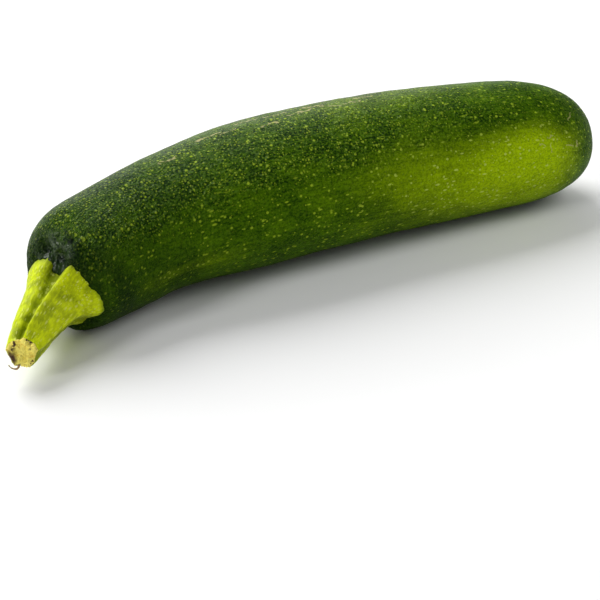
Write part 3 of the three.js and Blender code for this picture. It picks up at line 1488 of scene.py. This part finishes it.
@dataclass
class Stalk:
    """The cut stalk: a tapering ribbed stem, whose toes spread over the fruit's shoulder."""

    form: FruitForm
    ribs: list[Rib]
    finish: StalkFinish = field(default_factory=StalkFinish)
    length: float = 30.8 * MM
    root_radius: float = 9.75 * MM
    tip_radius: float = 5.2 * MM
    swing: float = math.radians(12.5)
    droop: float = math.radians(10)
    knee: float = 0.25
    root_depth: float = 3 * MM
    root_aside: float = 1.4 * MM
    root_below: float = 1.9 * MM
    flare_width: float = 3 * MM
    flare_length: float = 5 * MM
    rib_height: float = 3.0 * MM
    tip_rib_height: float = 1.2 * MM
    rib_seat: float = 0.4
    rib_twist: float = math.radians(22)
    toe_start: float = 0.65
    rib_onset: tuple[float, float] = (0.3, 0.9)
    furrows: tuple[Furrow, ...] = (
        Furrow(3, 8, 1.6, 1.5, Span(0.02, 0.15)), Furrow(-4, 8, 1.5, 2.4, Span(0.72, 0.98)),
    )
    buried: float = 3 * MM
    buried_rings: tuple[tuple[float, float], ...] = ((0.35, 0.97), (0.8, 0.8), (1.0, 0.5), (1.05, 0.1))
    cut_slope: float = math.radians(36)
    cut_way: float = math.radians(26)
    cut_tall: float = 1.12
    cut_fade: float = 13 * MM
    cut_bulge: float = 0.5 * MM
    cut_rings: tuple[float, ...] = (0.04, 0.3, 0.55, 0.78, 0.93)
    cut_depth: Span = Span(0.5 * MM, 1.3 * MM, 1.0, 0.0)
    cut_relief: Relief = Relief(2.6 * MM, 1.8 * MM)
    rim_start: float = 0.8 * MM
    unevenness: Relief = Relief(0.45 * MM, 4 * MM)
    wart_along: float = 21.5 * MM
    wart_angle: float = math.radians(-95)
    wart_reach: float = 3.6 * MM
    wart_height: float = 2.3 * MM
    foot_edge: Span = Span(-1.5 * MM, 0.5 * MM)
    pitted: tuple[float, float] = (0.45, 0.8)
    bruised: tuple[float, float] = (0.3, 0.6)
    bruise_angle: float = -112.0
    bruise_reach: float = 38.0
    bruise_sharpness: int = 4
    stem_rings: int = 22
    path_steps: int = 24
    sides: int = 60
    levels: int = 2

    def radius(self, along: float) -> float:
        """Returns the stem's mean radius between its ribs at a distance from its tip.

        Args:
            along: The distance.

        Returns:
            The radius.
        """
        out = self.length - along
        taper = self.root_radius + (self.tip_radius - self.root_radius) * out / self.length
        flare = self.flare_width * math.exp(-(out / self.flare_length) ** 2)
        return taper + flare - self.rib_seat * self.rib_height

    def rings(self) -> list[Ring]:
        """Returns the rings of the straight stem, from the middle of its cut face to its buried root.

        Returns:
            The rings in order.
        """
        tip, foot = self.radius(0), self.radius(self.length)
        back, aside = self.cut_slope * math.cos(self.cut_way), self.cut_slope * math.sin(self.cut_way)
        face = [Ring(self.cut_bulge * share ** 3, tip * share, 0, 0, back, aside, self.cut_tall)
                for share in self.cut_rings]
        stem = []
        for step in range(self.stem_rings + 1):
            along = self.rim_start + (self.length - self.rim_start) * step / self.stem_rings
            fade = 1 - float(smooth(along, 0, self.cut_fade))
            tall = 1 + (self.cut_tall - 1) * fade
            stem.append(Ring(along, self.radius(along), 0, 0, back * fade, aside * fade, tall))
        buried = [Ring(self.length + self.buried * depth, foot * share)
                  for depth, share in self.buried_rings]
        return face + stem + buried

    def path(self) -> list[Vector]:
        """Returns points along the stem's own line, from its tip to its foot, in the row's frame.

        Returns:
            The points in order.
        """
        laid = self.form.laid()
        line = self.form.line
        root = self.form.ring(self.root_depth, 0)
        heading = line.heading(self.root_depth)
        right = Vector((math.sin(heading), -math.cos(heading), 0))
        outward = -Vector((math.cos(heading), math.sin(heading), 0))
        foot = line.place(self.root_depth) + right * (root.right + self.root_aside)
        foot.z = root.up - self.root_below
        turned = Matrix.Rotation(self.swing, 3, "Z") @ outward
        tip = foot + turned * math.cos(self.droop) * self.length
        tip.z -= math.sin(self.droop) * self.length
        knee = foot + outward * self.length * self.knee
        shares = [step / self.path_steps for step in range(self.path_steps + 1)]
        return [laid @ curve_point([tip, knee, foot], share) for share in shares]

    def on_cut(self, angle: float, share: float) -> tuple[Vector, Vector, Vector, Vector]:
        """Returns a place on the cut face, and the stalk's directions there.

        Args:
            angle: Round the stalk.
            share: How far out from the face's middle.

        Returns:
            The place, and the directions ahead towards the fruit, to the right and up.
        """
        tip, after = self.path()[:2]
        ahead = (after - tip).normalized()
        right = ahead.cross(Vector((0, 0, 1))).normalized()
        up = right.cross(ahead)
        out = self.radius(0) * share
        back = math.tan(self.cut_slope) * math.cos(angle - self.cut_way) * out
        place = tip + right * out * math.sin(angle) + up * out * math.cos(angle) + ahead * back
        return place, ahead, right, up

    def build(self) -> bpy.types.Object:
        """Models the stalk, bends it into place, and dresses it.

        Returns:
            The finished piece.
        """
        full = before_smoothing(self.sides)
        rings = [replace(ring, radius=ring.radius * full) for ring in self.rings()]
        piece = grow("courgette_stalk", rings, self.sides)
        refine(piece, self.levels)
        points = places(piece)
        crests = np.clip(sum(rib.shares(self.twisted(points)) for rib in self.ribs), 0, 1)
        cut = self.cut_shares(points)
        self.shape_ribs(piece, points, crests)
        self.shape_wart(piece, points)
        roughen(piece, self.cut_relief, cut)
        roughen(piece, self.unevenness)
        store(piece, "grown", points)
        # Painted shade between the ribs.
        paint(piece, "shaded_hollow", 1 - crests)
        paint(piece, "cut", cut)
        paint(piece, "foot", self.foot_edge.at(points[:, 0] - self.length))
        self.mark_cut(piece, points, cut)
        bend(piece, self.path())
        dress(piece, self.finish.build())
        return piece

    def twisted(self, points: np.ndarray) -> np.ndarray:
        """Returns the angle of each point round the stem, with the twist of its ribs undone."""
        return angles_round(points) + self.rib_twist * (1 - self.to_foot(points))

    def to_foot(self, points: np.ndarray) -> np.ndarray:
        """Returns each point's share of the way from the tip to the foot."""
        return np.clip(points[:, 0] / self.length, 0, 1)

    def cut_shares(self, points: np.ndarray) -> np.ndarray:
        """Returns how far each point belongs to the cut face, by its depth behind the slanting face.

        Args:
            points: The points.

        Returns:
            The share of each, from 0 to 1.
        """
        rise = math.tan(self.cut_slope)
        behind = points @ np.array((1, rise * math.sin(self.cut_way), -rise * math.cos(self.cut_way)))
        return self.cut_depth.at(behind)

    def shape_ribs(self, piece: bpy.types.Object, points: np.ndarray, crests: np.ndarray) -> None:
        """Raises the ribs with their toes, and presses the furrows between them.

        Args:
            piece: The stalk.
            points: Its vertices' places before anything is raised.
            crests: How far each belongs to a rib.
        """
        share, angles = self.to_foot(points), self.twisted(points)
        low, high = (self.tip_radius * part for part in self.rib_onset)
        onset = smooth(np.linalg.norm(points[:, 1:], axis=1), low, high)
        toes = sum(rib.shares(angles) * (rib.toe - 1) for rib in self.ribs)
        toes = toes * smooth(share, self.toe_start, 1)
        height = self.tip_rib_height + (self.rib_height - self.tip_rib_height) * share
        raised = crests * (1 + toes) * height * onset
        swell(piece, raised.max(), raised / raised.max())
        for furrow in self.furrows:
            swell(piece, -furrow.depth * MM, furrow.shares(angles, share) * onset)

    def shape_wart(self, piece: bpy.types.Object, points: np.ndarray) -> None:
        """Raises the small wart on the stalk's left-hand side.

        Args:
            piece: The stalk.
            points: Its vertices' places before anything is raised.
        """
        across = np.linalg.norm(points[:, 1:], axis=1)
        off_along = (points[:, 0] - self.wart_along) / self.wart_reach
        off_round = apart(angles_round(points), self.wart_angle) * across / self.wart_reach
        swell(piece, self.wart_height, 1 - smooth(np.hypot(off_along, off_round), 0, 1))

    def mark_cut(self, piece: bpy.types.Object, points: np.ndarray, cut: np.ndarray) -> None:
        """Paints where the cut face is pitted and bruised, towards its rim.

        Args:
            piece: The stalk.
            points: Its vertices' places before anything is raised.
            cut: How far each belongs to the cut face.
        """
        out = np.linalg.norm(points[:, 1:], axis=1) / self.radius(0)
        off = (np.degrees(angles_round(points)) - self.bruise_angle) / self.bruise_reach
        paint(piece, "rind_edge", smooth(out, *self.pitted))
        paint(piece, "bruise", np.exp(-off ** self.bruise_sharpness) * smooth(out, *self.bruised) * cut)


@dataclass
class TornFibre:
    """A thin dry fibre that hangs curled from the lower edge of the cut.

    Its run is given in millimetres ahead, to the right and up from its root.
    """

    stalk: Stalk
    finish: FibreFinish = field(default_factory=FibreFinish)
    root_radius: float = 0.42 * MM
    tip_radius: float = 0.14 * MM
    root_angle: float = math.radians(192)
    root_share: float = 0.72
    root_rounding: float = 0.3
    tip_rounding: float = 0.4
    first_ring: float = 0.2
    ring_count: int = 14
    sides: int = 8
    path_steps: int = 30
    relief: Relief = Relief(0.25 * MM, 0.7 * MM)
    run: tuple[tuple[float, float, float], ...] = (
        (0.0, 0.0, 0.0), (-0.9, 0.4, -0.8), (-1.0, -0.9, -1.6), (-0.8, -2.8, -1.1), (-0.6, -3.2, 0.2),
    )

    def path(self) -> list[Vector]:
        """Returns points along the fibre, from its root to its tip.

        Returns:
            The points in order.
        """
        root, ahead, right, up = self.stalk.on_cut(self.root_angle, self.root_share)
        corners = [root + (ahead * run[0] + right * run[1] + up * run[2]) * MM for run in self.run]
        return [curve_point(corners, step / self.path_steps) for step in range(self.path_steps + 1)]

    def build(self) -> bpy.types.Object:
        """Models the fibre, curls it and dresses it.

        Returns:
            The finished piece.
        """
        path = self.path()
        length = sum((after - before).length for before, after in zip(path, path[1:]))
        rings = [Ring(0, self.root_rounding * self.root_radius)]
        for step in range(self.ring_count):
            share = (step + self.first_ring) / self.ring_count
            thick = self.root_radius + (self.tip_radius - self.root_radius) * share
            rings.append(Ring(length * share, thick))
        rings.append(Ring(length, self.tip_rounding * self.tip_radius))
        piece = grow("courgette_torn_fibre", rings, self.sides)
        refine(piece, 1)
        roughen(piece, self.relief)
        bend(piece, path)
        dress(piece, self.finish.build())
        return piece


# ---------------------------------------------------------------- studio

@dataclass(frozen=True)
class View:
    """The camera, which looks down on the courgette from beside its stalk."""

    aim: tuple[float, float, float] = (-18.9 * MM, -28.4 * MM, 0.0)
    azimuth: float = math.radians(-30.51)
    elevation: float = math.radians(30.635)
    distance: float = 480.4 * MM
    lens: float = 85.0
    sensor: float = 36.0
    nearest: float = 10 * MM

    def build(self) -> None:
        """Sets up the camera and makes it the scene's."""
        lens = bpy.data.cameras.new("camera")
        lens.lens, lens.sensor_width = self.lens, self.sensor
        lens.clip_start = self.nearest
        camera = bpy.data.objects.new("camera", lens)
        bpy.context.scene.collection.objects.link(camera)
        level = Vector((-math.sin(self.azimuth), math.cos(self.azimuth), 0))
        ahead = level * math.cos(self.elevation) - Vector((0, 0, math.sin(self.elevation)))
        camera.location = Vector(self.aim) - ahead * self.distance
        camera.rotation_euler = (math.pi / 2 - self.elevation, 0, self.azimuth)
        bpy.context.scene.camera = camera


@dataclass(frozen=True)
class Softbox:
    """One soft studio light, aimed at the middle of the courgette."""

    name: str
    place: tuple[float, float, float]
    size: float
    power: float

    def build(self, aim: Vector) -> None:
        """Hangs the light and aims it at a point.

        Args:
            aim: The point that it faces.
        """
        lamp = bpy.data.lights.new(self.name, "AREA")
        lamp.shape = "SQUARE"
        lamp.size, lamp.energy = self.size, self.power
        light = bpy.data.objects.new(self.name, lamp)
        bpy.context.scene.collection.objects.link(light)
        light.location = self.place
        light.rotation_euler = (aim - light.location).to_track_quat("-Z", "Y").to_euler()


@dataclass(frozen=True)
class Studio:
    """The plain pale floor and the soft lights."""

    floor_size: float = 6.0
    floor_drop: float = 0.05 * MM
    floor_colour: Colour = (246, 246, 246)
    floor_roughness: float = 0.9
    floor_specular: float = 0.2
    sky: float = 0.2
    lights: tuple[Softbox, ...] = (
        Softbox("key", (-0.1, 1.0, 1.0), 1.1, 24.0),
        Softbox("rim", (0.6, 1.4, 0.4), 1.0, 8.0),
        Softbox("fill", (0.8, -0.6, 1.1), 0.9, 5.0),
        Softbox("front", (-1.1, -0.15, 0.6), 0.28, 4.8),
    )

    def build(self) -> None:
        """Lays the floor and hangs the lights."""
        clear_selection()
        bpy.ops.mesh.primitive_plane_add(size=self.floor_size, location=(0, 0, -self.floor_drop))
        floor = bpy.context.object
        floor.name = "floor"
        put_in_mesh(floor)
        paper = Finish("floor_paper")
        paper.give(Base_Color=colour(self.floor_colour), Roughness=self.floor_roughness,
                   Specular_IOR_Level=self.floor_specular)
        floor.data.materials.append(paper.material)
        for light in self.lights:
            light.build((CAD_BOX[0] + CAD_BOX[1]) / 2)
        world = bpy.data.worlds.new("studio_air")
        world.use_nodes = True
        air = world.node_tree.nodes["Background"]
        air.inputs["Color"].default_value = (1, 1, 1, 1)
        air.inputs["Strength"].default_value = self.sky
        bpy.context.scene.world = world
        bpy.context.scene.view_settings.view_transform = "Standard"


def register(piece: bpy.types.Object, node: Node) -> None:
    """Attaches a finished piece to the root, hides the frame's part for its node, and reports it.

    Args:
        piece: The finished piece.
        node: The node that it stands for.
    """
    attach(piece, "root")
    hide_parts(node.value)
    LOG.info("%s: %d faces, %s", piece.name, len(piece.data.polygons),
             [round(side / MM, 1) for side in piece.dimensions])


def main() -> None:
    """Builds the view, the studio and the courgette's pieces, in that order."""
    logging.basicConfig(level=logging.INFO, format="%(name)s: %(message)s")
    View().build()
    Studio().build()
    form, ribs = FruitForm(), make_ribs()
    register(Fruit(form, ribs).build(), Node.FRUIT)
    stalk = Stalk(form, ribs)
    register(stalk.build(), Node.STALK)
    register(TornFibre(stalk).build(), Node.STALK)


if __name__ == "__main__":
    main()
